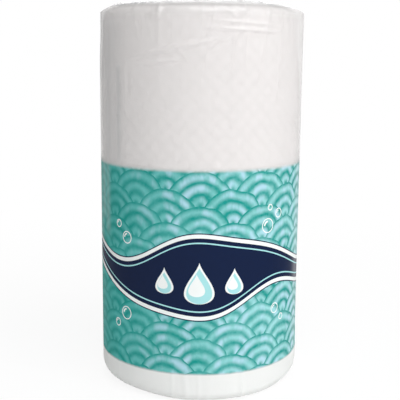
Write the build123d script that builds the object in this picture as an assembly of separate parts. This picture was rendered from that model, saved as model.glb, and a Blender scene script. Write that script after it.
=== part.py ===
"""A kitchen towel roll standing on end in its own clear film.

Millimetres, +Z up, origin at the middle of the bottom. The front faces -Y, the film's lap seam is at +Y.
"""

import math
import os

from build123d import *

# Towel web
SHEET_WIDTH = 279.0
ROLL_DIAMETER = 150.0
SHEET_CALIPER = 0.57
EDGE_ROUNDING = 10.0
RIM_FLATS = 4
TAIL_ANGLE = 150.0

# Bands of turns that stand lower than their neighbours on both ends of the roll
WINDING_HALF_TURNS = 7
WINDING_STEP = 0.4
WINDING_MARGIN = 3.0

# Card core
CORE_BORE = 41.0
CORE_WALL = 0.6
CORE_CLEARANCE = 0.1

# Film
FILM = 0.2
FILM_SIDE_GAP = 0.3
FILM_TOP_GAP = 0.3
LAP_WIDTH = 14.0

# Where round faces close on themselves, clear of every fold
SURFACE_SEAM_ANGLE = 45.0

# Envelope fold on both ends of the film
FLAP_EDGE = 106.0
FLAP_REACH = 20.0
FLAP_FOLD_ANGLE = 24.0
EAR_SETBACK = 0.6

# Worked out from the sizes above
roll_radius = ROLL_DIAMETER / 2
core_radius = CORE_BORE / 2 + CORE_WALL
bore_radius = core_radius + CORE_CLEARANCE
film_inner_radius = roll_radius + FILM_SIDE_GAP
film_radius = film_inner_radius + FILM
film_rounding = EDGE_ROUNDING + FILM_SIDE_GAP + FILM
end_radius = film_radius - film_rounding
fold_height = 2 * FILM
film_bottom = fold_height
roll_bottom = film_bottom + FILM
roll_top = roll_bottom + SHEET_WIDTH
film_ceiling = roll_top + FILM_TOP_GAP
film_top = film_ceiling + FILM


def soft_rim(radius, end_z, rounding, inwards):
    """Points of a quarter-round rim pressed into a few flats, from the flat end out to the side."""
    points = []
    for flat in range(RIM_FLATS + 1):
        turn = math.radians(90 * flat / RIM_FLATS)
        rim_x = radius - rounding * (1 - math.sin(turn))
        rim_z = end_z + inwards * rounding * (1 - math.cos(turn))
        points.append((rim_x, rim_z))
    return points


def rounded_cylinder(radius, bottom, top, rounding):
    """A cylinder about Z with soft rims, its surface seam away from the ears and the lap."""
    lower_rim = soft_rim(radius, bottom, rounding, 1)
    upper_rim = soft_rim(radius, top, rounding, -1)
    outline = Polyline((0, bottom), *lower_rim, *reversed(upper_rim), (0, top), close=True)
    return Rot(0, 0, SURFACE_SEAM_ANGLE) * revolve(Plane.XZ * make_face(outline), Axis.Z)


def upright_cylinder(radius, bottom, top):
    """A plain cylinder about Z."""
    return extrude(Pos(0, 0, bottom) * Circle(radius), top - bottom)


def spiral(start_radius, gain_per_turn, half_turns):
    """A flat spiral about Z that starts at the tail, drawn as half circles from two centres."""
    gain = gain_per_turn / 2
    centres = [Vector(0, 0), Vector(gain, 0).rotate(Axis.Z, TAIL_ANGLE)]
    halves = []
    for half in range(half_turns):
        start_angle = TAIL_ANGLE + 180 * half
        halves.append(CenterArc(centres[half % 2], start_radius + gain * half, start_angle, 180))
    return halves


def outer_turn():
    """The outline of the last turn of towel, which ends in a step one sheet high."""
    turn = spiral(roll_radius - SHEET_CALIPER, SHEET_CALIPER, 2)
    tail_edge = Line(turn[-1] @ 1, turn[0] @ 0)
    return make_face(Curve() + turn + [tail_edge])


def winding_band():
    """The spiral band of lower turns on the end of the roll, half as wide as it is spaced."""
    first = bore_radius + WINDING_MARGIN
    last = roll_radius - EDGE_ROUNDING - WINDING_MARGIN
    band_width = (last - first) / (WINDING_HALF_TURNS + 1)
    inner = spiral(first, 2 * band_width, WINDING_HALF_TURNS)
    outer = spiral(first + band_width, 2 * band_width, WINDING_HALF_TURNS)
    ends = [Line(inner[0] @ 0, outer[0] @ 0), Line(inner[-1] @ 1, outer[-1] @ 1)]
    return make_face(Curve() + inner + outer + ends)


def towel_roll():
    """The wound web: a soft-rimmed roll with its tail lying at the back and its turns showing at the ends."""
    wound = rounded_cylinder(roll_radius, roll_bottom, roll_top, EDGE_ROUNDING)
    wound &= extrude(Pos(0, 0, roll_bottom) * outer_turn(), SHEET_WIDTH)
    wound -= upright_cylinder(bore_radius, roll_bottom, roll_top)
    for lower_turns_z in (roll_bottom, roll_top - WINDING_STEP):
        wound -= extrude(Pos(0, 0, lower_turns_z) * winding_band(), WINDING_STEP)
    return wound


def core_tube():
    """The card tube, cut off flush with the roll at both ends."""
    tube = Circle(core_radius) - Circle(CORE_BORE / 2)
    return extrude(Pos(0, 0, roll_bottom) * tube, SHEET_WIDTH)


def lap_seam():
    """The lap down the back: the film climbs over its own edge and ends in a step one film high."""
    half_angle = math.degrees(LAP_WIDTH / 2 / film_radius)

    def at(radius, angle):
        return Vector(radius, 0).rotate(Axis.Z, 90 + angle)

    climb = ThreePointArc(
        at(film_radius, half_angle), at(film_radius + FILM / 2, 0), at(film_radius + FILM, -half_angle)
    )
    under = ThreePointArc(
        at(film_inner_radius, half_angle), at(film_inner_radius, 0), at(film_inner_radius, -half_angle)
    )
    sides = [Line(climb @ 0, under @ 0), Line(climb @ 1, under @ 1)]
    section = make_face(Curve() + [climb, under] + sides)
    seam_bottom = film_bottom + film_rounding
    seam_top = film_top - film_rounding
    return extrude(Pos(0, 0, seam_bottom) * section, seam_top - seam_bottom)


def end_flap():
    """The outline of the front flap on one end: from the front rim to a straight edge past the middle."""
    fold = math.radians(FLAP_FOLD_ANGLE)
    fold_x = end_radius * math.cos(fold)
    fold_y = -end_radius * math.sin(fold)
    outline = Polyline(
        (-FLAP_EDGE / 2, FLAP_REACH),
        (FLAP_EDGE / 2, FLAP_REACH),
        (fold_x, fold_y),
        (fold_x, -end_radius),
        (-fold_x, -end_radius),
        (-fold_x, fold_y),
        close=True,
    )
    return make_face(outline) & Circle(end_radius)


def folded_end(inner_z, outer_z):
    """Two flaps over the side tucks on one end: the rear one first, the front one last and over it."""
    outwards = math.copysign(1, outer_z - inner_z)
    rear = Rot(0, 0, 180) * end_flap()
    rear_flap = extrude(Pos(0, 0, inner_z) * rear, outwards * FILM)
    front_flap = extrude(Pos(0, 0, inner_z) * end_flap(), outer_z - inner_z)
    return rear_flap + front_flap


def tuck_ear(side):
    """The pinched web of film that stands in the top corner where a side tuck turns in."""
    corner_x = film_radius - EAR_SETBACK
    corner_z = film_top - EAR_SETBACK
    web = Polyline(
        (film_radius, film_top - film_rounding),
        (corner_x, corner_z),
        (end_radius, film_top),
        (end_radius, film_top - film_rounding),
        close=True,
    )
    ear = extrude(Plane.XZ * make_face(web), FILM, both=True)
    return ear if side > 0 else Rot(0, 0, 180) * ear


def film_wrap():
    """The film: a closed skin round the roll with its lap seam, its folded ends and two ears at the top."""
    skin = rounded_cylinder(film_radius, film_bottom, film_top, film_rounding)
    skin += lap_seam()
    skin += folded_end(film_bottom, film_bottom - fold_height)
    skin += folded_end(film_top, film_top + fold_height)
    skin += [tuck_ear(1), tuck_ear(-1)]
    inside_rounding = film_rounding - FILM
    return skin - rounded_cylinder(film_inner_radius, roll_bottom, film_ceiling, inside_rounding)


os.makedirs("parts", exist_ok=True)
pieces = {"core_tube": core_tube(), "towel_roll": towel_roll(), "film_wrap": film_wrap()}
for name, piece in pieces.items():
    export_step(piece, f"parts/{name}.step")
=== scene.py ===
"""A kitchen towel roll standing on end in its own clear printed film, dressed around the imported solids.

+Z is up, the origin is the middle of the bottom and the front of the printed band faces -Y.
Shapes and patterns are worked out in millimetres, and become metres as their meshes are made.
"""

import math

import bmesh
import bpy
import numpy as np
from mathutils import Matrix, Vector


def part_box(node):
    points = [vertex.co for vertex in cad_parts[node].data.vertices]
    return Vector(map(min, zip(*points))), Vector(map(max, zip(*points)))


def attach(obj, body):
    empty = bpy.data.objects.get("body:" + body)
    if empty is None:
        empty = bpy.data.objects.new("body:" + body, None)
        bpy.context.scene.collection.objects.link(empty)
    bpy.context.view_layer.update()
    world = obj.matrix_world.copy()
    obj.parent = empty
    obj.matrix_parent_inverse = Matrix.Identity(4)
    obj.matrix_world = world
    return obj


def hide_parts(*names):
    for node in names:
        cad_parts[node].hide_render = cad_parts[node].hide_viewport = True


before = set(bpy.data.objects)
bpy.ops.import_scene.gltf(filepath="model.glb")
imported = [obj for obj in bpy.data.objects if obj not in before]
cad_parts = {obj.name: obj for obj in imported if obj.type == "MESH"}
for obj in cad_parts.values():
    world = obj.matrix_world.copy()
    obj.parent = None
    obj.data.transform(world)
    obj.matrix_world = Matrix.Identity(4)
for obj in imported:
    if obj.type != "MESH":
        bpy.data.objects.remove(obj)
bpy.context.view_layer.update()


# Core tube
# The tube of brown card that the web is wound on. Its plies are wound in a slant and glued edge to edge,
# so their joint climbs the wall like a thread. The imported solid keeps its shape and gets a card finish.
MM = 0.001
CARD_LIGHT = (0.42, 0.285, 0.165, 1.0)
CARD_DARK = (0.27, 0.17, 0.09, 1.0)
CARD_ROUGHNESS = 0.85
FIBRE_STRETCH = (1.0, 1.0, 0.25)
FIBRE_CONTRAST = (0.3, 0.7)
FIBRE_RELIEF = 0.06
JOINT_LEAD = 118.0
JOINT_SHARE_OF_LEAD = 0.012
JOINT_DARKNESS = 0.6
JOINT_DEPTH = 0.15


class Field:
    """A shader socket that stands in Python expressions: every operation adds a Math node to its tree."""

    def __init__(self, socket):
        self.socket = socket

    @staticmethod
    def feed(node, sockets):
        """Gives sockets of a node their values or links."""
        for key, value in sockets.items():
            if isinstance(value, Field):
                node.id_data.links.new(value.socket, node.inputs[key])
            else:
                node.inputs[key].default_value = value

    @staticmethod
    def node(tree, kind, settings, sockets):
        """Adds any other node: its settings are set first, then its sockets."""
        made = tree.nodes.new(kind)
        for name, value in settings.items():
            setattr(made, name, value)
        Field.feed(made, sockets)
        return made

    def maths(self, operation, *others):
        """Adds the Math node of any operation, with this socket as its first value."""
        sockets = dict(enumerate((self, *others)))
        made = Field.node(self.socket.id_data, "ShaderNodeMath", {"operation": operation}, sockets)
        return Field(made.outputs[0])

    def soft_step(self, low, high):
        """Rises smoothly from 0 at low to 1 at high."""
        sockets = {"Value": self, "From Min": low, "From Max": high}
        settings = {"interpolation_type": "SMOOTHSTEP"}
        return Field(Field.node(self.socket.id_data, "ShaderNodeMapRange", settings, sockets).outputs[0])

    def __add__(self, other):
        return self.maths("ADD", other)

    def __sub__(self, other):
        return self.maths("SUBTRACT", other)

    def __rsub__(self, other):
        return self * -1.0 + other

    def __mul__(self, other):
        return self.maths("MULTIPLY", other)

    def __truediv__(self, other):
        return self.maths("DIVIDE", other)

    def __mod__(self, other):
        return self.maths("FLOORED_MODULO", other)

    def __pow__(self, other):
        return self.maths("POWER", other)

    def __lt__(self, other):
        return self.maths("LESS_THAN", other)

    def __gt__(self, other):
        return self.maths("GREATER_THAN", other)

    def __abs__(self):
        return self.maths("ABSOLUTE")

    __radd__ = __add__
    __rmul__ = __mul__


def blend_colours(share, first, second):
    """The first colour where share is 0, the second where it is 1."""
    # A Mix node's colours share their names with its other sockets, so they are given by number
    tree = share.socket.id_data
    made = Field.node(tree, "ShaderNodeMix", {"data_type": "RGBA"}, {0: share, 6: first, 7: second})
    return Field(made.outputs[2])


def noise(place, scale, detail=2.0, roughness=0.5, stretch=(1.0, 1.0, 1.0)):
    """Cloudy noise from 0 to 1, with this many lumps in a millimetre before it is stretched."""
    tree = place.socket.id_data
    scaled = Field.node(tree, "ShaderNodeVectorMath", {"operation": "MULTIPLY"}, {0: place, 1: stretch})
    sockets = {"Vector": Field(scaled.outputs[0]), "Scale": scale, "Detail": detail, "Roughness": roughness}
    return Field(Field.node(tree, "ShaderNodeTexNoise", {}, sockets).outputs[0])


def start_finish(name):
    """A new material: itself, its shader, and its places in millimetres as one vector and as x, y and z."""
    material = bpy.data.materials.new(name)
    material.use_nodes = True
    tree = material.node_tree
    coordinates = Field.node(tree, "ShaderNodeTexCoord", {}, {})
    to_mm = {0: Field(coordinates.outputs["Object"]), "Scale": 1.0 / MM}
    scaled = Field.node(tree, "ShaderNodeVectorMath", {"operation": "SCALE"}, to_mm)
    place = Field(scaled.outputs[0])
    parts = Field.node(tree, "ShaderNodeSeparateXYZ", {}, {0: place})
    axes = [Field(output) for output in parts.outputs]
    return material, tree.nodes["Principled BSDF"], place, axes


def front_angle(x, y):
    """The angle about Z in radians, from 0 at the front round to half a turn either way at the back."""
    return x.maths("ARCTAN2", y * -1.0)


def relief(height):
    """A normal for a surface whose relief is given in millimetres."""
    tree = height.socket.id_data
    return Field(Field.node(tree, "ShaderNodeBump", {}, {"Height": height, "Distance": MM}).outputs[0])


def card_finish():
    """Brown card with its fibres along the tube and the climbing joint of its plies."""
    material, shader, place, (x, y, z) = start_finish("brown_card")
    turns = front_angle(x, y) / math.tau + z / JOINT_LEAD
    joint = 1.0 - abs(turns % 1.0 - 0.5).soft_step(0.0, JOINT_SHARE_OF_LEAD)
    fibres = noise(place, scale=0.9, detail=5.0, roughness=0.7, stretch=FIBRE_STRETCH)
    colour = blend_colours(fibres.soft_step(*FIBRE_CONTRAST), CARD_DARK, CARD_LIGHT)
    colour = blend_colours(joint * JOINT_DARKNESS, colour, CARD_DARK)
    normal = relief(fibres * FIBRE_RELIEF - joint * JOINT_DEPTH)
    Field.feed(shader, {"Base Color": colour, "Roughness": CARD_ROUGHNESS, "Normal": normal})
    return material


core_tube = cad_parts["core_tube"]
core_tube.data.materials.clear()
core_tube.data.materials.append(card_finish())


# Towel roll
# The wound web of two-ply tissue: soft rims, a tail that ends at the back, and the edges of its turns on
# both ends. The web is embossed in a quilted pattern, and a row of perforations crosses every sheet's end.
ROLL_COLUMNS = 240
ROLL_END_ROWS = 8
ROLL_RIM_ROWS = 9
ROLL_SIDE_ROWS = 60
BORE_ROWS = 5
ROLL_RADIUS = 74.9
RIM_ROUNDING = 10.5
SHEET_CALIPER = 0.57
SHEET_LENGTH = 178.0
TAIL_ANGLE = math.radians(240.0)
TAIL_SLOPE = math.radians(0.3)
BORE_CLEARANCE = 0.12
TURN_POINTS = 72
TURN_RELIEF = 0.2
TURN_CONTRAST = (0.35, 0.7)
TURN_SHADE = 0.6
TOP_SETTLING = 0.8
# The tissue's white; its darker tone, painted shade in the quilt's hollows and slits and random cloudy tone
# elsewhere; and the painted shade in the grooves between its turns
TISSUE_WHITE = (0.87, 0.843, 0.836, 1.0)
TISSUE_SHADE = (0.69, 0.668, 0.663, 1.0)
TISSUE_GROOVE_SHADE = (0.60, 0.575, 0.565, 1.0)
TISSUE_ROUGHNESS = 0.92
FUZZ_RELIEF = 0.08
CLOUD_SHADE = 0.1
QUILT_PITCH = 11.0
QUILT_RELIEF = 0.34
QUILT_SHADE = 0.6
QUILT_BEGINS = 8.0
QUILT_FULL = 4.0
PERFORATION_PITCH = 5.0
SLIT_SHARE = 0.7
SLIT_HALF = 0.4
SLIT_SHADE = 0.4
SLIT_DEPTH = 0.2

# Soft dents of the upper half: angle from the front in degrees, width, depth, and the heights where each
# begins and is deepest
DENTS = (
    (86.0, 26.0, 0.8, 160.0, 190.0),
    (86.0, 30.0, 3.4, 218.0, 266.0),
    (-90.0, 40.0, 1.4, 222.0, 268.0),
)


def ramp(value, low, high):
    """Rises smoothly from 0 at low to 1 at high."""
    share = np.clip((value - low) / (high - low), 0.0, 1.0)
    return share * share * (3.0 - 2.0 * share)


def bell(distance, width):
    """1 at no distance, fading out smoothly at about twice the width."""
    return np.exp(-((distance / width) ** 2))


def turned_by(angle, centre):
    """How far an angle is from a centre, by the shorter way round."""
    return (angle - centre + math.pi) % math.tau - math.pi


def dent_depth(dent, around, height, radius):
    """How deep one soft dent is at these angles and heights, on a round piece of this radius."""
    angle, width, depth, begins, deepest = dent
    beside = bell(turned_by(around, math.radians(angle)) * radius, width)
    return depth * beside * ramp(height, begins, deepest)


def wrapped_faces(rows, columns, ring):
    """Quads between neighbouring rows of points, each row closed on itself, and a ring closed both ways."""
    last = rows if ring else rows - 1
    row, column = np.meshgrid(np.arange(last), np.arange(columns), indexing="ij")
    next_row = (row + 1) % rows
    next_column = (column + 1) % columns
    corners = (row * columns + column, row * columns + next_column)
    corners += (next_row * columns + next_column, next_row * columns + column)
    return np.stack(corners, axis=-1).reshape(-1, 4).tolist()


def round_points(radius, height, around):
    """Points in millimetres at these radii, heights and angles from the front."""
    radius, height, around = np.broadcast_arrays(radius, height, around)
    return np.stack((radius * np.sin(around), -radius * np.cos(around), height), axis=-1)


def new_piece(name, points, faces, material):
    """A smooth piece at the origin, from points in millimetres."""
    mesh = bpy.data.meshes.new(name)
    mesh.from_pydata((np.asarray(points) * MM).tolist(), [], faces)
    mesh.materials.append(material)
    mesh.shade_smooth()
    piece = bpy.data.objects.new(name, mesh)
    bpy.context.scene.collection.objects.link(piece)
    return piece


def tissue_finish():
    """White tissue, quilted and perforated round the side, with painted shade in the quilt's hollows and
    slits, and in the grooves between its turns on both ends.
    """
    material, shader, place, (x, y, z) = start_finish("white_tissue")
    arc = front_angle(x, y) * ROLL_RADIUS
    radius = (x * x + y * y) ** 0.5
    on_side = radius.soft_step(ROLL_RADIUS - QUILT_BEGINS, ROLL_RADIUS - QUILT_FULL)
    rising = ((arc + z) * (math.pi / QUILT_PITCH)).maths("SINE")
    falling = ((arc - z) * (math.pi / QUILT_PITCH)).maths("SINE")
    puffs = abs(rising * falling) ** 0.5
    fuzz = noise(place, scale=1.6, detail=4.0, roughness=0.65)
    clouds = noise(place, scale=0.05, detail=3.0)
    from_tail = (arc - turned_by(TAIL_ANGLE, 0.0) * ROLL_RADIUS) % (math.tau * ROLL_RADIUS)
    from_sheet_middle = abs(from_tail % SHEET_LENGTH - SHEET_LENGTH / 2.0)
    at_sheet_end = from_sheet_middle > SHEET_LENGTH / 2.0 - SLIT_HALF
    slit = at_sheet_end * (z % PERFORATION_PITCH < PERFORATION_PITCH * SLIT_SHARE) * on_side
    outward = Field(Field.node(material.node_tree, "ShaderNodeCombineXYZ", {}, {"X": radius}).outputs[0])
    turn_groove_shade = noise(outward, scale=0.45, detail=3.0, roughness=0.7).soft_step(*TURN_CONTRAST)
    # Painted shade in the quilt's hollows and the perforation slits, over random cloudy tone
    shade = (1.0 - puffs) * on_side * QUILT_SHADE + clouds * CLOUD_SHADE + slit * SLIT_SHADE
    colour = blend_colours(shade, TISSUE_WHITE, TISSUE_SHADE)
    # Painted shade in the grooves between the turns on both ends
    colour = blend_colours(turn_groove_shade * (1.0 - on_side) * TURN_SHADE, colour, TISSUE_GROOVE_SHADE)
    normal = relief(puffs * on_side * QUILT_RELIEF + fuzz * FUZZ_RELIEF - slit * SLIT_DEPTH)
    Field.feed(shader, {"Base Color": colour, "Roughness": TISSUE_ROUGHNESS, "Normal": normal})
    return material


def wound_turns(material):
    """The nodes that add the edges of the turns, one spiral on each end, to the body of the roll."""
    tree = bpy.data.node_groups.new("wound_turns", "GeometryNodeTree")
    tree.interface.new_socket("Roll", in_out="INPUT", socket_type="NodeSocketGeometry")
    for name in ("Turns", "Inner Radius", "Outer Radius", "Edge Width", "Bottom", "Top"):
        tree.interface.new_socket(name, in_out="INPUT", socket_type="NodeSocketFloat")
    tree.interface.new_socket("Roll", in_out="OUTPUT", socket_type="NodeSocketGeometry")
    entry = Field.node(tree, "NodeGroupInput", {}, {})
    given = {socket.name: Field(socket) for socket in entry.outputs}
    path_sizes = {
        "Resolution": TURN_POINTS,
        "Rotations": given["Turns"],
        "Start Radius": given["Inner Radius"],
        "End Radius": given["Outer Radius"],
        "Height": 0.0,
    }
    path = Field.node(tree, "GeometryNodeCurveSpiral", {}, path_sizes)
    edge_sizes = {"Width": given["Edge Width"], "Height": given["Edge Width"]}
    edge = Field.node(tree, "GeometryNodeCurvePrimitiveQuadrilateral", {"mode": "RECTANGLE"}, edge_sizes)
    swept = {"Curve": Field(path.outputs[0]), "Profile Curve": Field(edge.outputs[0]), "Fill Caps": True}
    turns = Field(Field.node(tree, "GeometryNodeCurveToMesh", {}, swept).outputs[0])
    joined = Field.node(tree, "GeometryNodeJoinGeometry", {}, {0: given["Roll"]})
    for end in ("Bottom", "Top"):
        shift = Field(Field.node(tree, "ShaderNodeCombineXYZ", {}, {"Z": given[end]}).outputs[0])
        placed = Field.node(tree, "GeometryNodeTransform", {}, {"Geometry": turns, "Translation": shift})
        tree.links.new(placed.outputs[0], joined.inputs[0])
    plain = Field.node(tree, "GeometryNodeRealizeInstances", {}, {0: Field(joined.outputs[0])})
    finish = {"Geometry": Field(plain.outputs[0]), "Material": material}
    finished = Field.node(tree, "GeometryNodeSetMaterial", {}, finish)
    Field.node(tree, "NodeGroupOutput", {}, {0: Field(finished.outputs[0])})
    return tree


def run_nodes(piece, tree, sizes):
    """Runs a tree on a piece with these sizes, and keeps the result as the piece's own plain mesh."""
    modifier = piece.modifiers.new(tree.name, "NODES")
    modifier.node_group = tree
    for item in tree.interface.items_tree:
        if item.in_out == "INPUT" and item.name in sizes:
            modifier[item.identifier] = sizes[item.name]
    evaluated = piece.evaluated_get(bpy.context.evaluated_depsgraph_get())
    result = bpy.data.meshes.new_from_object(evaluated)
    piece.modifiers.remove(modifier)
    piece.data = result


def towel_roll():
    """The body of the roll, an outline swept round from its tail, and the edges of its turns on its ends."""
    low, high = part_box("towel_roll")
    bottom = low.z / MM + TURN_RELIEF
    top = high.z / MM - TOP_SETTLING - TURN_RELIEF
    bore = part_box("core_tube")[1].x / MM + BORE_CLEARANCE
    flat = ROLL_RADIUS - RIM_ROUNDING
    quarter = np.linspace(0.0, math.pi / 2, ROLL_RIM_ROWS)
    rim_out = flat + RIM_ROUNDING * np.sin(quarter)
    rim_in = RIM_ROUNDING * (1.0 - np.cos(quarter))
    end = np.linspace(bore, flat, ROLL_END_ROWS)[:-1]
    side = np.linspace(bottom + RIM_ROUNDING, top - RIM_ROUNDING, ROLL_SIDE_ROWS)[1:-1]
    wall = np.linspace(top, bottom, BORE_ROWS)[1:-1]
    outline = (
        (end, np.full(end.size, bottom)),
        (rim_out, bottom + rim_in),
        (np.full(side.size, ROLL_RADIUS), side),
        (rim_out[::-1], (top - rim_in)[::-1]),
        (end[::-1], np.full(end.size, top)),
        (np.full(wall.size, bore), wall),
    )
    radius, height = np.concatenate(outline, axis=1)[..., None]
    turn = np.linspace(0.0, 1.0, ROLL_COLUMNS)[None, :]
    around = TAIL_ANGLE + turn * (math.tau - TAIL_SLOPE)
    outward = ramp(radius, bore, ROLL_RADIUS)
    lag = SHEET_CALIPER * (1.0 - turn)
    grid = radius - outward * lag
    for dent in DENTS:
        grid = grid - outward * dent_depth(dent, around, height, ROLL_RADIUS)
    points = round_points(grid, height, around).reshape(-1, 3)
    tissue = tissue_finish()
    roll = new_piece("wound_towel", points, wrapped_faces(*grid.shape, ring=True), tissue)
    inner = bore + SHEET_CALIPER
    outer = flat - SHEET_CALIPER
    sizes = {
        "Turns": round((outer - inner) / SHEET_CALIPER),
        "Inner Radius": inner * MM,
        "Outer Radius": outer * MM,
        "Edge Width": 2.0 * TURN_RELIEF * MM,
        "Bottom": bottom * MM,
        "Top": top * MM,
    }
    run_nodes(roll, wound_turns(tissue), sizes)
    return roll


roll = towel_roll()
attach(roll, "root")
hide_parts("towel_roll")


# Printed film
# One sheet of clear polythene, printed in a band before it was wrapped round the roll. It is welded in a
# lap down the back, folded over both ends like an envelope, and gathers where its sides tuck in.

# The skin's plain shape, with closer rows of points where its side is creased
FILM_COLUMNS = 400
FILM_END_ROWS = 12
FILM_RIM_ROWS = 12
PLAIN_ROWS = 46
CREASED_ROWS = 88
CREASED_SHARE = 0.74
MIDDLE_SHARE = 0.03
FILM_END_GAP = 0.42
FILM_TOP_SAG = 0.1
FOOT_ROUNDING = 11.5
FOOT_FULLNESS = 5.0
FOOT_FULL_ANGLE = math.radians(15.0)
FOOT_FULL_SPREAD = math.radians(42.0)
SHOULDER_FRONT = (14.5, 9.2, 2.2)
SHOULDER_EAR = (18.5, 6.0, 1.3)
EAR_POWER = 3.6
LAP_ANGLE = math.pi
LAP_WIDTH = 14.0
LAP_STEP = 0.35
LAP_LIP = 0.6

# The film's own soft dent, given as those of the towel are
FILM_DENT = (-90.0, 34.0, 1.2, 235.0, 272.0)

# Soft slack, fading out from the side onto both ends. Each set of waves has how far it stands out, the
# number of waves round the roll, and the height in which it goes through one radian.
SLACK_BEGINS = 14.0
SLACK_FULL = 3.0
WIDE_SLACK = (0.12, 3.0, 41.0)
WIDE_SLACK_TURN = 1.0
SLANTED_SLACK = (0.10, 5.0, 63.0)

# Small random gathers at both rims: the least and the most of angle, width, reach, lean and ridge height,
# the share of them at the top, and the heights that they start from
GATHERS = 110
GATHER_SEED = 5
GATHER_LEAST = (0.0, 0.9, 8.0, -0.25, 0.12)
GATHER_MOST = (math.tau, 2.4, 34.0, 0.25, 0.5)
GATHERS_AT_TOP = 0.6
GATHER_TOP = 272.0
GATHER_FOOT = 10.0

# Wide pleats of the top rim: angle from the front in degrees, width and rise
RIM_PLEATS = (
    (80.0, 5.0, 1.3),
    (63.0, 6.0, -1.2),
    (28.0, 12.0, 0.9),
)
PLEAT_BEGINS_BELOW_TOP = 12.0
PLEAT_FULL_BELOW_TOP = 3.0
PLEAT_INNER_RADIUS = 48.0
PLEAT_OUTER_RADIUS = 66.0
PLEAT_LOSS_AT_SIDE = 0.6

# Creases seen from the front: arc from the middle, height, length, tilt in degrees, width and ridge height
CREASES = (
    (34.0, 265.8, 46.0, -3.0, 1.0, 0.65),
    (33.0, 261.2, 50.0, -2.0, 1.1, 0.85),
    (14.0, 264.0, 16.0, 12.0, 1.2, 0.30),
    (-18.0, 249.0, 58.0, 11.4, 1.8, 0.85),
    (13.0, 252.5, 14.0, 30.0, 1.3, 0.35),
    (-30.0, 239.5, 28.0, 5.0, 1.4, 0.60),
    (-14.0, 246.0, 14.0, -50.0, 1.4, 0.30),
    (-29.5, 273.8, 13.0, 88.0, 1.2, 0.85),
    (-32.4, 273.8, 13.0, 88.0, 3.0, 0.60),
    (18.0, 274.0, 16.0, -38.0, 1.2, 0.55),
    (27.0, 275.0, 14.0, -30.0, 1.3, 0.45),
    (-52.0, 225.0, 22.0, 88.0, 1.6, 0.35),
    (-58.0, 222.0, 34.0, 90.0, 1.5, 0.35),
    (60.0, 236.0, 40.0, 84.0, 1.8, 0.30),
)

# Folds where the film lies double, painted grey as shade over the tissue and as sheen over the print: arc
# from the middle, lowest and highest point, width and how much shows
FOLDS_WITH_PAINTED_SHADE = (
    (-66.0, 164.0, 240.0, 3.0, 0.85),
    (-82.0, 164.0, 262.0, 3.0, 0.8),
    (-78.0, 164.0, 270.0, 16.0, 0.42),
    (-96.0, 164.0, 262.0, 6.0, 0.22),
    (-102.0, 222.0, 276.0, 9.0, 0.6),
    (-83.0, 112.0, 172.0, 4.0, 0.42),
    (-91.0, 122.0, 172.0, 5.5, 0.46),
    (-102.0, 104.0, 172.0, 7.0, 0.34),
    (104.0, 176.0, 271.0, 4.0, 0.62),
    (97.0, 14.0, 174.0, 8.0, 0.5),
    (150.0, 80.0, 262.0, 5.0, 0.28),
    (-176.0, 120.0, 264.0, 5.0, 0.28),
)
FOLD_LOWER_FADE = 8.0
FOLD_UPPER_FADE = 4.0

# The top rim lies partly double as well, and more so where its slack stands up. That film is painted grey,
# as painted shade on the rim and in its gathers
RIM_FOLD_BEGINS_BELOW_TOP = 11.0
RIM_FOLD_FULL_BELOW_TOP = 8.0
RIM_FOLD_INNER = 26.0
RIM_FOLD_OUTER = 14.0
RIM_DOUBLED_SHADE = 0.14
SLACK_DOUBLED_SHADE = 0.5
SLACK_MOST = 0.35

# The flaps: on each end a front one lies over a rear one. The layers of film that a flap shows rise from
# one to four along its sealed edge, and the side that lies on the skin is marked as hidden.
FLAP_ANGLE = math.radians(66.0)
FLAP_EDGE = 106.0
FLAP_REACH = 20.0
FLAP_INSET = 5.0
FLAP_GRID = (17, 97)
FLAP_FILM = 0.05
FLAP_WAVE = 0.9
FLAP_WAVE_TURN = 5.0
FLAP_WAVE_SHIFT = 9.0
FLAP_RIM_SHARE = 0.12
REAR_LIFT = 0.12
FRONT_LIFT = 0.28
SEAL_LAYERS = 3.0
SEAL_BEGINS = 0.82
SEAL_FULL = 0.88
HIDDEN_SIDE = -1.0

# Fine random pleats of a flap: the least and the most of middle, lean, width, reach and ridge height. The
# roll's weight presses those of the bottom nearly flat.
FLAP_PLEATS = 26
FLAP_PLEAT_LEAST = (-1.0, -0.12, 0.012, 0.15, 0.1)
FLAP_PLEAT_MOST = (1.0, 0.12, 0.035, 0.6, 0.45)
FLAP_PLEATS_HIGHEST = 0.5
PRESSED_SHARE = 0.2

# Inks of the print
INK_DEEP = (0.012, 0.285, 0.25, 1.0)
INK_MIDDLE = (0.046, 0.415, 0.385, 1.0)
INK_PALE = (0.37, 0.70, 0.72, 1.0)
INK_LILAC = (0.44, 0.66, 0.78, 1.0)
INK_NAVY = (0.003, 0.011, 0.045, 1.0)
INK_WHITE = (0.84, 0.87, 0.86, 1.0)

# The band and its field of fish scales. Places are in millimetres from the bottom and the front's middle.
BAND_LOW = 21.4
BAND_HIGH = 166.5
BAND_LOW_FADE = 1.1
BAND_HIGH_FADE = 1.8
BAND_EDGE_FUZZ = 0.8
BAND_LAP_MARGIN = 6.0
BAND_LAP_FADE = 0.4
SCALES_ROUND = 10
SCALE_LINE = 1.6
RIPPLES = 3.0
RIPPLE_INK = 0.75
SWAY = 7.0
SWAY_UPWARD = 0.7
WASH_CONTRAST = (0.3, 0.7)
WASH_INK = 0.25
BRUSH_INK = 0.7
STROKE_STRETCH = (1.0, 1.0, 0.45)
STROKE_CONTRAST = (0.42, 0.66)
STROKES_FROM_LEFT = (0.05, 0.45)
STROKE_INK = 0.85

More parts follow.
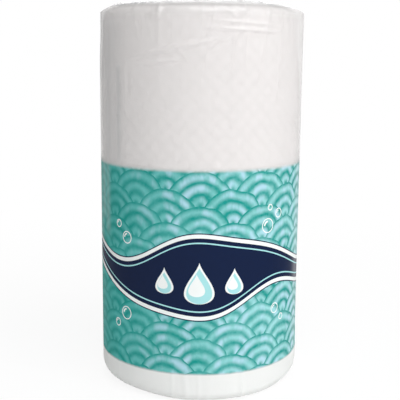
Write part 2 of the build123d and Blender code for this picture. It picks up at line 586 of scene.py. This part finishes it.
# Bubbles: arc and height of the middle, and radius
BUBBLES = (
    (52.0, 126.0, 5.0),
    (63.0, 134.0, 3.2),
    (54.0, 139.0, 2.0),
    (-57.0, 116.0, 4.2),
    (-66.0, 125.0, 2.6),
    (-58.0, 60.0, 4.6),
    (-68.0, 51.0, 2.8),
    (61.0, 64.0, 3.6),
    (69.0, 56.0, 2.2),
    (-160.0, 120.0, 5.0),
    (-171.0, 129.0, 3.0),
    (150.0, 58.0, 4.6),
    (161.0, 50.0, 2.8),
)
BUBBLE_LINE_HALF = 0.35
BUBBLE_SHINE_RADIUS = 0.6
BUBBLE_SHINE_HALF = 0.12

# The ribbon, which swells into a panel at the front. Its borders are laid from the widest inwards.
RIBBON_MIDDLE = 92.0
RIBBON_SWING = 9.0
RIBBON_WAVES = 3
RIBBON_HALF = 7.0
PANEL_HALF = 21.0
PANEL_SPREAD = 47.0
RIBBON_BORDERS = ((3.6, INK_NAVY), (2.8, INK_WHITE), (0.0, INK_NAVY))
INLINE_DEPTH = 3.4
INLINE_HALF = 0.5

# Drops on the panel: arc and height of the middle, and half the height of the drop
DROPS = (
    (0.0, RIBBON_MIDDLE - 4.0, 15.0),
    (-25.0, RIBBON_MIDDLE - 3.0, 9.5),
    (25.0, RIBBON_MIDDLE - 3.0, 9.5),
)
DROP_FATNESS = 0.30
DROP_RIM = 1.6
GLINT_SIZE = 0.55
GLINT_ASIDE = 0.12
GLINT_BELOW = 0.1

# The film's own haze, relief and gloss on its side, its ends and its white foot
FILM_CLEAR = (0.87, 0.845, 0.838, 1.0)
# Doubled film's grey: painted shade over the tissue and painted sheen over the print, which pales there
DOUBLED_SHADE_AND_SHEEN_GREY = (0.60, 0.605, 0.605, 1.0)
# The foot's film is whiter than elsewhere: painted bounce light from the floor
FOOT_WHITE_AND_BOUNCE = (0.925, 0.93, 0.915, 1.0)
FILM_END = (0.97, 0.96, 0.955, 1.0)
SIDE_BEGINS = 16.0
SIDE_FULL = 6.0
SIDE_HAZE = 0.45
END_HAZE = 0.04
FOOT_HAZE = 0.8
DOUBLED_SIDE_HAZE = 0.3
DOUBLED_END_HAZE = 0.03
FOOT_FADE_BELOW = 1.0
FOOT_FADE_ABOVE = 0.5
FOLD_SHEEN_PALING = 0.45
CRINKLE_STRETCH = (1.0, 1.0, 0.6)
CRINKLE_RELIEF = 0.16
CRINKLE_ROUGHNESS = 0.12
BILLOW_STRETCH = (1.0, 1.0, 1.6)
BILLOW_RELIEF = 0.5
WELD_PITCH = 2.4
WELD_SHARE = 0.7
WELD_RELIEF = 0.08
FILM_ROUGHNESS = 0.16
CLEAR_GLOSS = 0.05
PRINT_GLOSS = 0.012
END_GLOSS = 0.025
EDGE_GLOSS = 0.2
EDGE_GLOSS_POWER = 5.0


def plateau(distance, half):
    """1 near no distance, falling off quickly about this far out."""
    return np.exp(-((distance / half) ** 4))


def film_shoulder(around):
    """Width, height and squareness of the film's top rim: soft in front, with a flat ear at each side."""
    ear = np.abs(np.sin(around)) ** EAR_POWER
    return [front + (side - front) * ear for front, side in zip(SHOULDER_FRONT, SHOULDER_EAR)]


def shoulder_drop(radius, around, film_radius):
    """How far the top of the film lies below its flat end at these radii and angles."""
    width, height, power = film_shoulder(around)
    out = np.clip((radius - film_radius + width) / width, 0.0, 1.0)
    return height * (1.0 - (1.0 - out**power) ** (1.0 / power))


def foot_rounding(around):
    """Rounding of the film's bottom rim, which is fuller at the front and a little to the right."""
    return FOOT_ROUNDING - FOOT_FULLNESS * plateau(turned_by(around, FOOT_FULL_ANGLE), FOOT_FULL_SPREAD)


def foot_rise(radius, around, film_radius):
    """How far the bottom of the film lies above its flat end at these radii and angles."""
    rounding = foot_rounding(around)
    out = np.clip((radius - film_radius + rounding) / rounding, 0.0, 1.0)
    return rounding * (1.0 - np.sqrt(1.0 - out**2))


def rim_gathers():
    """Random gathers at both rims: angle, width, reach, lean, ridge height, and whether at the top."""
    chance = np.random.default_rng(GATHER_SEED)
    gathers = []
    for _ in range(GATHERS):
        sizes = chance.uniform(GATHER_LEAST, GATHER_MOST)
        gathers.append((*sizes, chance.random() < GATHERS_AT_TOP))
    return gathers


def film_slack(around, height, film_radius, gathers):
    """How far the film stands out from its plain shape: soft slack, gathers at both rims, and creases."""
    rise, waves, climb = WIDE_SLACK
    wide = rise * np.sin(waves * around + WIDE_SLACK_TURN) * np.sin(height / climb)
    rise, waves, climb = SLANTED_SLACK
    slack = wide + rise * np.sin(waves * around - height / climb)
    for angle, width, reach, lean, ridge, at_top in gathers:
        from_rim = GATHER_TOP - height if at_top else height - GATHER_FOOT
        arc = turned_by(around, angle) * film_radius - lean * from_rim
        slack = slack + ridge * bell(arc, width) * bell(from_rim, reach)
    for middle, level, length, tilt, width, ridge in CREASES:
        arc = turned_by(around, middle / film_radius) * film_radius
        lean = math.radians(tilt)
        along = arc * math.cos(lean) + (height - level) * math.sin(lean)
        across = (height - level) * math.cos(lean) - arc * math.sin(lean)
        slack = slack + ridge * bell(across, width) * plateau(along, length / 2)
    return slack


def drawn_film(radius, height, around, film_radius, top, gathers):
    """Radius and height of the film's points once slack, lap, dent and pleats move them, and their slack."""
    slack = film_slack(around, height, film_radius, gathers)
    over_side = ramp(radius, film_radius - SLACK_BEGINS, film_radius - SLACK_FULL)
    lap = turned_by(around, LAP_ANGLE) * film_radius
    lap_lift = LAP_STEP * ramp(lap, -LAP_WIDTH / 2, LAP_WIDTH / 2) * (lap < LAP_WIDTH / 2 + LAP_LIP)
    dent = dent_depth(FILM_DENT, around, height, film_radius)
    pleat = np.zeros_like(radius)
    for angle, width, rise in RIM_PLEATS:
        pleat = pleat + rise * bell(turned_by(around, math.radians(angle)) * film_radius, width)
    near_top = ramp(height, top - PLEAT_BEGINS_BELOW_TOP, top - PLEAT_FULL_BELOW_TOP)
    on_shoulder = near_top * ramp(radius, PLEAT_INNER_RADIUS, PLEAT_OUTER_RADIUS)
    drawn_radius = radius + over_side * (slack + lap_lift - dent)
    drawn_height = height + on_shoulder * (1.0 - over_side * PLEAT_LOSS_AT_SIDE) * (pleat + slack)
    return drawn_radius, drawn_height, slack


def doubling_and_painted_shade(radius, height, around, slack, film_radius, top):
    """How much film that lies double shows at points of the skin, on the top rim and in folds. The finish
    paints it grey there, as painted shade over the tissue and painted sheen over the print.
    """
    near_top = ramp(height, top - RIM_FOLD_BEGINS_BELOW_TOP, top - RIM_FOLD_FULL_BELOW_TOP)
    on_rim = near_top * ramp(radius, film_radius - RIM_FOLD_INNER, film_radius - RIM_FOLD_OUTER)
    doubled_and_shade = on_rim * (RIM_DOUBLED_SHADE + SLACK_DOUBLED_SHADE * np.clip(slack, 0.0, SLACK_MOST))
    for arc, lowest, highest, width, share in FOLDS_WITH_PAINTED_SHADE:
        beside = bell(turned_by(around, arc / film_radius) * film_radius, width)
        begun = ramp(height, lowest, lowest + FOLD_LOWER_FADE)
        along = begun * (1.0 - ramp(height, highest - FOLD_UPPER_FADE, highest))
        doubled_and_shade = np.maximum(doubled_and_shade, share * beside * along)
    return doubled_and_shade


def film_skin(film_radius, bottom, top, gathers):
    """The closed skin of film as rows of points from the middle of the bottom up to the middle of the top,
    and how much each point shows of film that lies double, which is painted grey as shade and sheen."""
    around = np.linspace(0.0, math.tau, FILM_COLUMNS, endpoint=False)[None, :]
    quarter = np.linspace(0.0, math.pi / 2, FILM_RIM_ROWS)[:, None]
    end_share = np.linspace(MIDDLE_SHARE, 1.0, FILM_END_ROWS)[:-1, None]
    rounding = foot_rounding(around)
    foot_flat = film_radius - rounding
    foot_end = end_share * foot_flat
    width, rim_height, power = film_shoulder(around)
    roundness = 2.0 / power
    rim_top = top - rim_height
    shoulder_out = film_radius - width + width * np.cos(quarter) ** roundness
    shoulder_up = rim_top + rim_height * np.sin(quarter) ** roundness
    top_end = end_share[::-1] * (film_radius - width)
    plain_share = np.linspace(0.0, CREASED_SHARE, PLAIN_ROWS)[1:]
    creased_share = np.linspace(CREASED_SHARE, 1.0, CREASED_ROWS)[1:-1]
    side_share = np.concatenate((plain_share, creased_share))[:, None]
    side_height = bottom + rounding + side_share * (rim_top - bottom - rounding)
    outline = (
        (foot_end, np.full_like(foot_end, bottom)),
        (foot_flat + rounding * np.sin(quarter), bottom + rounding * (1.0 - np.cos(quarter))),
        (np.full_like(side_height, film_radius), side_height),
        (shoulder_out, shoulder_up),
        (top_end, np.full_like(top_end, top)),
    )
    radius, height = np.concatenate(outline, axis=1)
    radius, height, slack = drawn_film(radius, height, around, film_radius, top, gathers)
    doubled_and_shade = doubling_and_painted_shade(radius, height, around, slack, film_radius, top)
    return round_points(radius, height, around), doubled_and_shade


def flap_points(film_radius, bottom, top, gathers, at_top, front, lift):
    """One folded flap of film on an end, as a grid from its rim to its free edge, lying on the skin."""
    rows = np.linspace(0.0, 1.0, FLAP_GRID[0])
    columns = np.linspace(-1.0, 1.0, FLAP_GRID[1])
    inward, across = np.meshgrid(rows, columns, indexing="ij")
    rim_radius = film_radius - FLAP_INSET
    rim_x = rim_radius * np.sin(across * FLAP_ANGLE)
    rim_y = -rim_radius * np.cos(across * FLAP_ANGLE)
    edge_x = across * FLAP_EDGE / 2
    edge_y = FLAP_REACH + FLAP_WAVE * np.sin(across * FLAP_WAVE_TURN + lift * FLAP_WAVE_SHIFT)
    x = rim_x + (edge_x - rim_x) * inward
    y = rim_y + (edge_y - rim_y) * inward
    radius = np.hypot(x, y)
    around = np.arctan2(x, -y)
    chance = np.random.default_rng(2 * front + at_top)
    pleats = np.zeros_like(x)
    for _ in range(FLAP_PLEATS):
        middle, lean, width, reach, ridge = chance.uniform(FLAP_PLEAT_LEAST, FLAP_PLEAT_MOST)
        pleats = pleats + ridge * bell(across - middle - lean * inward, width) * bell(inward, reach)
    pleats = np.minimum(pleats, FLAP_PLEATS_HIGHEST) * (1.0 if at_top else PRESSED_SHARE)
    rise = ramp(inward, 0.0, FLAP_RIM_SHARE) * (lift + pleats)
    if not front:
        around = around + math.pi
    if at_top:
        height = top - shoulder_drop(radius, around, film_radius)
    else:
        height = bottom + foot_rise(radius, around, film_radius)
    radius, height, _ = drawn_film(radius, height, around, film_radius, top, gathers)
    return round_points(radius, height + rise if at_top else height - rise, around)


def sheet_solid(points):
    """Points and faces of a closed thin sheet, from a grid of points on its lower side."""
    rows, columns, _ = points.shape
    count = rows * columns
    other = points + (0.0, 0.0, FLAP_FILM)
    index = np.arange(count).reshape(rows, columns)
    corners = (index[:-1, :-1], index[:-1, 1:], index[1:, 1:], index[1:, :-1])
    first = np.stack(corners, axis=-1).reshape(-1, 4)
    second = first[:, ::-1] + count
    border = np.concatenate((index[0, :-1], index[:-1, -1], index[-1, :0:-1], index[:0:-1, 0]))
    following = np.roll(border, -1)
    walls = np.stack((following, border, border + count, following + count), axis=-1)
    both_sides = np.concatenate((points.reshape(-1, 3), other.reshape(-1, 3)))
    return both_sides, np.concatenate((first, second, walls))


def scale_ripples(arc, z, film_radius):
    """A field of overlapping fish scales with ripples about their middles: 0 in a line, 1 between lines."""
    pitch = math.tau * film_radius / SCALES_ROUND
    scale_radius = pitch / 2
    row_height = scale_radius / 2
    row = (z / row_height).maths("FLOOR")

    def from_middle(row_number):
        shifted = arc + (row_number % 2.0) * scale_radius
        sideways = (shifted + scale_radius) % pitch - scale_radius
        upward = z - row_number * row_height
        return (sideways * sideways + upward * upward) ** 0.5

    nearer = from_middle(row - 1.0)
    further = from_middle(row)
    inside = nearer < scale_radius
    distance = inside * nearer + (1.0 - inside) * further
    wave = (distance * (math.tau * RIPPLES / scale_radius)).maths("COSINE") * -0.5 + 0.5
    edge = 1.0 - (scale_radius - distance).soft_step(0.0, SCALE_LINE)
    return wave * (1.0 - edge)


def aqua_field(place, arc, z, film_radius):
    """The band's field: rippled scales in aqua inks, painted paler to the right, the side that the lamps
    light, with strokes of lilac there that are partly painted sheen.
    """
    sway = (noise(place, scale=0.06) - 0.5) * SWAY
    ripples = scale_ripples(arc + sway, z + sway * SWAY_UPWARD, film_radius)
    across = (arc / film_radius).maths("SINE") * 0.5 + 0.5
    washes = noise(place, scale=0.035).soft_step(*WASH_CONTRAST)
    brush = noise(place, scale=0.3, detail=5.0, roughness=0.65) - 0.5
    strokes = noise(place, scale=0.11, detail=3.0, stretch=STROKE_STRETCH).soft_step(*STROKE_CONTRAST)
    # Painted light: the field grows paler to the right, the side that the lamps light
    colour = blend_colours(across, INK_MIDDLE, INK_PALE)
    inked = ripples * RIPPLE_INK + washes * WASH_INK + brush * BRUSH_INK
    colour = blend_colours(inked, INK_DEEP, colour)
    # Lilac strokes show only on the lit side, partly painted sheen
    lit_side_lilac = strokes * ripples * across.soft_step(*STROKES_FROM_LEFT) * STROKE_INK
    return blend_colours(lit_side_lilac, colour, INK_LILAC)


def add_bubbles(colour, arc, z):
    """Prints the outlines of bubbles over a colour, each with a shine at its upper left."""
    for middle_arc, middle_z, size in BUBBLES:
        sideways = arc - middle_arc
        upward = z - middle_z
        from_middle = (sideways * sideways + upward * upward) ** 0.5
        line = abs(from_middle - size) < BUBBLE_LINE_HALF
        colour = blend_colours(line, colour, INK_WHITE)
        shine = abs(from_middle - size * BUBBLE_SHINE_RADIUS) < size * BUBBLE_SHINE_HALF
        colour = blend_colours(shine * (sideways < 0.0) * (upward > 0.0), colour, INK_WHITE)
    return colour


def add_ribbon(colour, arc, z, film_radius):
    """Prints the ribbon over a colour: waving round the roll, with borders and a thin line inside them."""
    wave = (arc * (RIBBON_WAVES / film_radius)).maths("SINE") * RIBBON_SWING
    panel = ((arc / PANEL_SPREAD) ** 2.0 * -1.0).maths("EXPONENT")
    half = panel * PANEL_HALF + RIBBON_HALF
    outside = abs(z - RIBBON_MIDDLE - wave * (1.0 - panel)) - half
    for reach, ink in RIBBON_BORDERS:
        colour = blend_colours(outside < reach, colour, ink)
    inline = abs(outside + INLINE_DEPTH) < INLINE_HALF
    return blend_colours(inline, colour, INK_PALE)


def drop(arc, z, middle_arc, middle_z, size):
    """A falling drop of water: below 0 inside its outline, in millimetres near it."""
    sideways = (arc - middle_arc) / size
    upward = (z - middle_z) / size
    taper = 1.0 - upward.maths("MINIMUM", 1.0).maths("MAXIMUM", -1.0)
    curve = taper * taper * taper * (2.0 - taper) * DROP_FATNESS
    return (abs(sideways) - curve.maths("MAXIMUM", 0.0) ** 0.5) * size


def add_drops(colour, arc, z):
    """Prints the drops over a colour, each with a white rim and a glint."""
    for middle_arc, middle_z, size in DROPS:
        outside = drop(arc, z, middle_arc, middle_z, size)
        colour = blend_colours(outside < 0.0, colour, INK_WHITE)
        colour = blend_colours(outside < -DROP_RIM, colour, INK_PALE)
        glint_arc = middle_arc - size * GLINT_ASIDE
        glint_z = middle_z - size * GLINT_BELOW
        glint = drop(arc, z, glint_arc, glint_z, size * GLINT_SIZE)
        colour = blend_colours(glint < 0.0, colour, INK_WHITE)
    return colour


def film_print(place, arc, z, from_lap, film_radius):
    """The print as a colour, and how much of the film it covers."""
    colour = aqua_field(place, arc, z, film_radius)
    colour = add_bubbles(colour, arc, z)
    colour = add_ribbon(colour, arc, z, film_radius)
    colour = add_drops(colour, arc, z)
    level = z + (noise(place, scale=0.5) - 0.5) * BAND_EDGE_FUZZ
    above = level.soft_step(BAND_HIGH - BAND_HIGH_FADE, BAND_HIGH + BAND_HIGH_FADE)
    cover = level.soft_step(BAND_LOW - BAND_LOW_FADE, BAND_LOW + BAND_LOW_FADE) * (1.0 - above)
    cover = cover * from_lap.soft_step(BAND_LAP_MARGIN - BAND_LAP_FADE, BAND_LAP_MARGIN + BAND_LAP_FADE)
    return colour, cover


def mix_film(tree, shader, solid, mirror, shine):
    """Mixes open film with its solid shader, lays the gloss over both, and makes that the surface."""
    open_film = Field.node(tree, "ShaderNodeBsdfTransparent", {}, {})
    body = {0: solid, 1: Field(open_film.outputs[0]), 2: Field(shader.outputs[0])}
    film_body = Field.node(tree, "ShaderNodeMixShader", {}, body)
    gloss = {0: shine, 1: Field(film_body.outputs[0]), 2: Field(mirror.outputs[0])}
    film = Field.node(tree, "ShaderNodeMixShader", {}, gloss)
    Field.feed(tree.nodes["Material Output"], {"Surface": Field(film.outputs[0])})


def film_finish(film_radius):
    """Printed film, hazy on its side and clear on its ends. Its foot is white, partly as painted bounce
    light, and where it lies double it is painted grey, as shade over the tissue and as sheen over the print.
    """
    material, shader, place, (x, y, z) = start_finish("printed_film")
    tree = material.node_tree
    arc = front_angle(x, y) * film_radius
    from_lap = film_radius * math.pi - abs(arc)
    ink, cover = film_print(place, arc, z, from_lap, film_radius)
    attribute = Field.node(tree, "ShaderNodeAttribute", {"attribute_name": "layers"}, {})
    layers = Field(attribute.outputs["Fac"])
    doubled_and_shade = layers.maths("MAXIMUM", 0.0)
    shown = layers > HIDDEN_SIDE / 2
    radius = (x * x + y * y) ** 0.5
    on_side = radius.soft_step(film_radius - SIDE_BEGINS, film_radius - SIDE_FULL)
    foot = on_side * (1.0 - z.soft_step(BAND_LOW - FOOT_FADE_BELOW, BAND_LOW + FOOT_FADE_ABOVE))
    side_haze = on_side * (doubled_and_shade * DOUBLED_SIDE_HAZE + SIDE_HAZE)
    end_haze = (1.0 - on_side) * (doubled_and_shade * DOUBLED_END_HAZE + END_HAZE)
    haze = side_haze + end_haze + foot * (FOOT_HAZE - SIDE_HAZE)
    solid = (haze + cover * (1.0 - haze)) * shown
    milky = blend_colours(on_side, FILM_END, FILM_CLEAR)
    # Painted grey where film lies double: shade over the tissue, and sheen over the print, which pales there
    milky = blend_colours(doubled_and_shade * on_side, milky, DOUBLED_SHADE_AND_SHEEN_GREY)
    # Whiter foot: painted bounce light from the floor
    milky = blend_colours(foot, milky, FOOT_WHITE_AND_BOUNCE)
    colour = blend_colours(cover * (1.0 - doubled_and_shade * on_side * FOLD_SHEEN_PALING), milky, ink)
    crinkle = noise(place, scale=0.22, detail=4.0, roughness=0.55, stretch=CRINKLE_STRETCH)
    billows = noise(place, scale=0.05, stretch=BILLOW_STRETCH)
    weld = (from_lap < BAND_LAP_MARGIN * WELD_SHARE) * (z * (math.tau / WELD_PITCH)).maths("SINE")
    normal = relief(crinkle * CRINKLE_RELIEF + billows * BILLOW_RELIEF + weld * WELD_RELIEF)
    roughness = crinkle * CRINKLE_ROUGHNESS + FILM_ROUGHNESS
    sockets = {"Base Color": colour, "Roughness": roughness, "Specular IOR Level": 0.0, "Normal": normal}
    Field.feed(shader, sockets)
    mirror = Field.node(tree, "ShaderNodeBsdfGlossy", {}, {"Roughness": roughness, "Normal": normal})
    facing = Field(Field.node(tree, "ShaderNodeLayerWeight", {}, {"Normal": normal}).outputs["Facing"])
    face_gloss = on_side * (CLEAR_GLOSS - END_GLOSS) + END_GLOSS
    face_gloss = face_gloss + cover * (PRINT_GLOSS - face_gloss)
    shine = (facing**EDGE_GLOSS_POWER * EDGE_GLOSS + face_gloss) * shown
    mix_film(tree, shader, solid, mirror, shine)
    return material


def skin_faces(rows, columns):
    """Faces of the closed skin: quads between its rows, and triangles to a middle point on each end."""
    faces = wrapped_faces(rows, columns, ring=False)
    lower_pole = rows * columns
    last_row = (rows - 1) * columns
    for column in range(columns):
        following = (column + 1) % columns
        faces.append((lower_pole, following, column))
        faces.append((lower_pole + 1, last_row + column, last_row + following))
    return faces


def printed_film():
    """The film's skin and its four flaps as one piece, which keeps its layers of film at every point."""
    low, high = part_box("film_wrap")
    film_radius = high.x / MM
    bottom = low.z / MM + FILM_END_GAP
    top = high.z / MM - FILM_TOP_SAG
    gathers = rim_gathers()
    skin, doubled_and_shade = film_skin(film_radius, bottom, top, gathers)
    rows, columns, _ = skin.shape
    poles = [(0.0, 0.0, bottom), (0.0, 0.0, skin[-1, :, 2].mean())]
    points = [skin.reshape(-1, 3), poles]
    # On the skin the layers give doubled film, which the finish paints grey as shade and sheen
    layers = [doubled_and_shade.reshape(-1), np.zeros(len(poles))]
    faces = skin_faces(rows, columns)
    count = rows * columns + len(poles)
    seal = 1.0 + SEAL_LAYERS * ramp(np.linspace(0.0, 1.0, FLAP_GRID[0]), SEAL_BEGINS, SEAL_FULL)
    outer = np.repeat(seal, FLAP_GRID[1])
    inner = np.full(outer.size, HIDDEN_SIDE)
    for at_top in (False, True):
        for front, lift in ((False, REAR_LIFT), (True, FRONT_LIFT)):
            sheet = flap_points(film_radius, bottom, top, gathers, at_top, front, lift)
            flap, flap_faces = sheet_solid(sheet)
            points.append(flap)
            faces.extend((flap_faces + count).tolist())
            count += len(flap)
            layers.append(np.concatenate((inner, outer) if at_top else (outer, inner)))
    piece = new_piece("clear_film", np.concatenate(points), faces, film_finish(film_radius))
    shown_layers = piece.data.attributes.new("layers", "FLOAT", "POINT")
    shown_layers.data.foreach_set("value", np.concatenate(layers).astype(np.float32))
    turned_outwards = bmesh.new()
    turned_outwards.from_mesh(piece.data)
    bmesh.ops.recalc_face_normals(turned_outwards, faces=turned_outwards.faces)
    turned_outwards.to_mesh(piece.data)
    turned_outwards.free()
    return piece


film = printed_film()
# Through both ends a ray of light meets the film and its folded flaps more often than the usual 8 times
bpy.context.scene.cycles.transparent_max_bounces = 16
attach(film, "root")
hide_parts("film_wrap")


# Studio
# A plain pale floor that keeps the roll's shadow, and a white surround. A broad soft light stands high at
# the front right, with weaker ones at the right, behind and low in front, and a small one that glints in
# the film's creases. The camera is near the height of the roll's top and looks a little down.
FLOOR_WHITE = (0.95, 0.95, 0.95, 1.0)
FLOOR_ROUGHNESS = 0.9
PURE_WHITE = (1.0, 1.0, 1.0, 1.0)
SURROUND_LIGHT = 0.30

# Sizes and places of the studio, in metres. The floor is plain matt under the roll. From the outer radius
# of that contact it glows white to the camera, so the shadow stays faint and fades out further off.
FLOOR_SIZE = 6.0
CONTACT_INNER = 0.045
CONTACT_OUTER = 0.066
GLOW_NEAR = 0.15
GLOW_FAR = 0.7
GLOW_LEAST = 0.88
LIGHT_AIM = (0.0, 0.0, 0.14)
CAMERA_PLACE = (0.0, -0.6466, 0.2465)
CAMERA_PITCH = math.radians(9.89)
CAMERA_ROLL = math.radians(0.481)
CAMERA_LENS = 76.48


def seen_directly(tree):
    """1 for what the camera sees, straight, in a gloss or through the film, and 0 for light on the roll."""
    rays = Field.node(tree, "ShaderNodeLightPath", {}, {})
    seen = Field(rays.outputs["Is Camera Ray"]) + Field(rays.outputs["Is Glossy Ray"])
    return (seen + Field(rays.outputs["Is Transmission Ray"])).maths("MINIMUM", 1.0)


def pale_floor():
    """A matt floor that takes shadows, mixed with a white glow that only the camera sees."""
    material = bpy.data.materials.new("pale_floor")
    material.use_nodes = True
    tree = material.node_tree
    matt = tree.nodes["Principled BSDF"]
    sockets = {"Base Color": FLOOR_WHITE, "Roughness": FLOOR_ROUGHNESS, "Specular IOR Level": 0.0}
    Field.feed(matt, sockets)
    glow = Field.node(tree, "ShaderNodeEmission", {}, {"Color": PURE_WHITE, "Strength": 1.0})
    coordinates = Field.node(tree, "ShaderNodeTexCoord", {}, {})
    place = {0: Field(coordinates.outputs["Object"])}
    length = Field.node(tree, "ShaderNodeVectorMath", {"operation": "LENGTH"}, place)
    from_middle = Field(length.outputs["Value"])
    open_floor = from_middle.soft_step(CONTACT_INNER, CONTACT_OUTER)
    brightness = from_middle.soft_step(GLOW_NEAR, GLOW_FAR) * (1.0 - GLOW_LEAST) + GLOW_LEAST
    share = seen_directly(tree) * open_floor * brightness
    shaders = {0: share, 1: Field(matt.outputs[0]), 2: Field(glow.outputs[0])}
    mixed = Field.node(tree, "ShaderNodeMixShader", {}, shaders)
    Field.feed(tree.nodes["Material Output"], {"Surface": Field(mixed.outputs[0])})
    half = FLOOR_SIZE / MM / 2
    corners = [(-half, -half, 0.0), (half, -half, 0.0), (half, half, 0.0), (-half, half, 0.0)]
    floor = new_piece("floor", corners, [(0, 1, 2, 3)], material)


def white_surround():
    """A world that is plain white to the camera and lights the roll weakly."""
    world = bpy.data.worlds.new("surround")
    bpy.context.scene.world = world
    world.use_nodes = True
    tree = world.node_tree
    strength = seen_directly(tree) * (1.0 - SURROUND_LIGHT) + SURROUND_LIGHT
    Field.feed(tree.nodes["Background"], {"Color": PURE_WHITE, "Strength": strength})


def soft_light(name, azimuth, elevation, distance, size, power, mirrored=True):
    """A square soft light that looks at the middle of the roll. Azimuths run from the front towards +X."""
    lamp = bpy.data.lights.new(name, "AREA")
    lamp.size = size
    lamp.energy = power
    holder = bpy.data.objects.new(name, lamp)
    sideways = Matrix.Rotation(math.radians(azimuth), 4, "Z")
    turn = sideways @ Matrix.Rotation(math.radians(90 - elevation), 4, "X")
    outward = Matrix.Translation((0.0, 0.0, distance))
    holder.matrix_world = Matrix.Translation(LIGHT_AIM) @ turn @ outward
    holder.visible_glossy = mirrored
    bpy.context.scene.collection.objects.link(holder)


def photo_camera():
    """The camera at the photograph's own place and angle."""
    lens = bpy.data.cameras.new("camera")
    lens.lens = CAMERA_LENS
    camera = bpy.data.objects.new("camera", lens)
    tilt = Matrix.Rotation(math.pi / 2 - CAMERA_PITCH, 4, "X") @ Matrix.Rotation(CAMERA_ROLL, 4, "Z")
    camera.matrix_world = Matrix.Translation(CAMERA_PLACE) @ tilt
    bpy.context.scene.collection.objects.link(camera)
    bpy.context.scene.camera = camera


pale_floor()
white_surround()
soft_light("key", azimuth=21, elevation=52, distance=2.6, size=2.2, power=51.0)
soft_light("side", azimuth=64, elevation=22, distance=2.6, size=1.5, power=12.0)
soft_light("rear", azimuth=180, elevation=30, distance=2.4, size=1.2, power=14.0)
soft_light("fill", azimuth=4, elevation=-15, distance=0.42, size=0.06, power=0.08, mirrored=False)
soft_light("glint", azimuth=56, elevation=42, distance=2.0, size=0.12, power=2.5)
photo_camera()
bpy.context.scene.view_settings.view_transform = "Standard"
